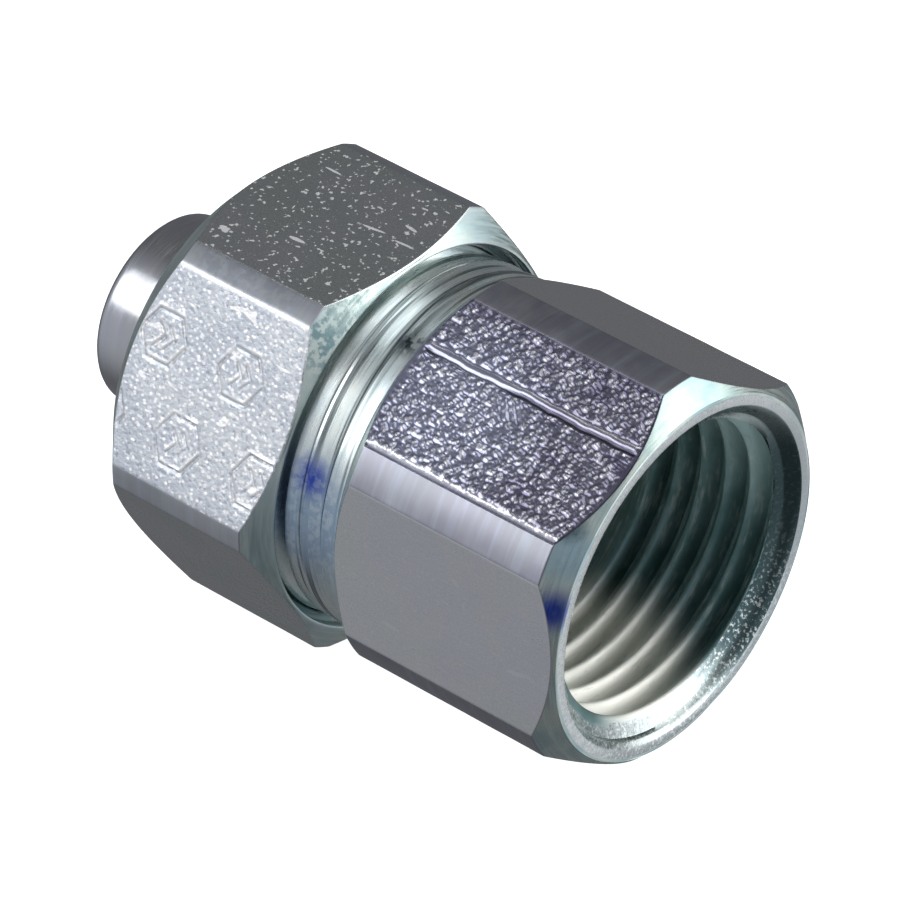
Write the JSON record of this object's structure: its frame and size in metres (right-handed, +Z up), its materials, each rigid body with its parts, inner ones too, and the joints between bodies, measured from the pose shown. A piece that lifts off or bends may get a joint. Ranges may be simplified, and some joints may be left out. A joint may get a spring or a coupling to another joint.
{
  "type": "conduit compression fitting",
  "caption": "Straight fitting with a female conduit thread at one end and a hex compression nut that clamps a cable or tube in a sleeve at the other.",
  "frame": {"origin": "on the axis, at the shoulder inside the female thread where the conduit's end stops", "axes": "+X along the axis towards the female mouth, +Z up through one of the nut's flats"},
  "size_m": [0.0408, 0.0285, 0.0262],
  "materials": {
    "zinc_body": "bright zinc plate",
    "zinc_nut": "bright zinc plate",
    "turned_steel": "turned, bright zinc plate",
    "washer_steel": "plain plated",
    "ring_steel": "turned, plated",
    "seal_rubber": "matt black rubber",
    "bush_nylon": "natural nylon"
  },
  "bodies": {
    "fitting": {"body": "zinc_body", "throat_bush": "bush_nylon", "seat_washer": "washer_steel", "sealing_ring": "seal_rubber"},
    "slip": {"slip_washer": "washer_steel"},
    "nut": {"compression_nut": "zinc_nut"},
    "sleeve": {"entry_sleeve": "turned_steel", "clamping_ring": "ring_steel"}
  },
  "joints": [
    {"name": "gland_advance", "type": "slide", "parent": "fitting", "child": "slip", "axis": [1, 0, 0], "range_m": [-0.00318, 0.00159]},
    {"name": "nut_turn", "type": "hinge", "parent": "slip", "child": "nut", "pos_m": [-0.0142, 0, 0], "axis": [1, 0, 0], "range_deg": [-720, 360]},
    {"name": "sleeve_swivel", "type": "hinge", "parent": "slip", "child": "sleeve", "pos_m": [-0.0182, 0, 0], "axis": [1, 0, 0], "continuous": true}
  ],
  "couplings": [
    {"joint": "gland_advance", "follows": "nut_turn", "m_per_rad": 0.00025266}
  ]
}
